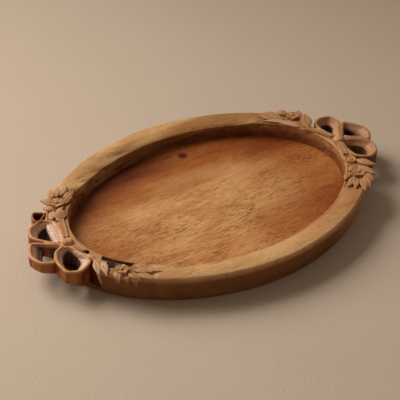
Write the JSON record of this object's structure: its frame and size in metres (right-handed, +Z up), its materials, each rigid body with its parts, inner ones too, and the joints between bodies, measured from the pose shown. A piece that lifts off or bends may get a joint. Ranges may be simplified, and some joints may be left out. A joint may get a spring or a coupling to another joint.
{
  "type": "carved tray",
  "caption": "Oval carved wooden tray with a low broad rim round a shallow well, a pierced ribbon bow at each end, and ribbon tails and leaf sprays carved along the rim.",
  "frame": {"origin": "on the table under the middle of the tray's overall box", "axes": "+X along the tray's length to the right-hand bow, +Y to the back of the tray, +Z up"},
  "size_m": [0.4341, 0.272, 0.0351],
  "materials": {
    "rim_wood": "oiled, rubbed smooth",
    "end_wood": "carved, lightly oiled",
    "bow_wood": "carved, lightly oiled",
    "floor_wood": "planed open grain, oiled",
    "dowel_wood": "bare, glued in"
  },
  "bodies": {
    "root": {"rim_front_rail": "rim_wood", "rim_back_rail": "rim_wood", "end_block_left": "end_wood", "end_block_right": "end_wood", "bow_left": "bow_wood", "bow_right": "bow_wood", "floor_board_front": "floor_wood", "floor_board_middle": "floor_wood", "floor_board_back": "floor_wood", "rim_dowel_right_back_lower": "dowel_wood", "rim_dowel_right_back_upper": "dowel_wood", "rim_dowel_left_back_lower": "dowel_wood", "rim_dowel_left_back_upper": "dowel_wood", "rim_dowel_left_front_lower": "dowel_wood", "rim_dowel_left_front_upper": "dowel_wood", "rim_dowel_right_front_lower": "dowel_wood", "rim_dowel_right_front_upper": "dowel_wood", "bow_dowel_left_lower": "dowel_wood", "bow_dowel_left_upper": "dowel_wood", "bow_dowel_right_lower": "dowel_wood", "bow_dowel_right_upper": "dowel_wood"}
  },
  "joints": []
}
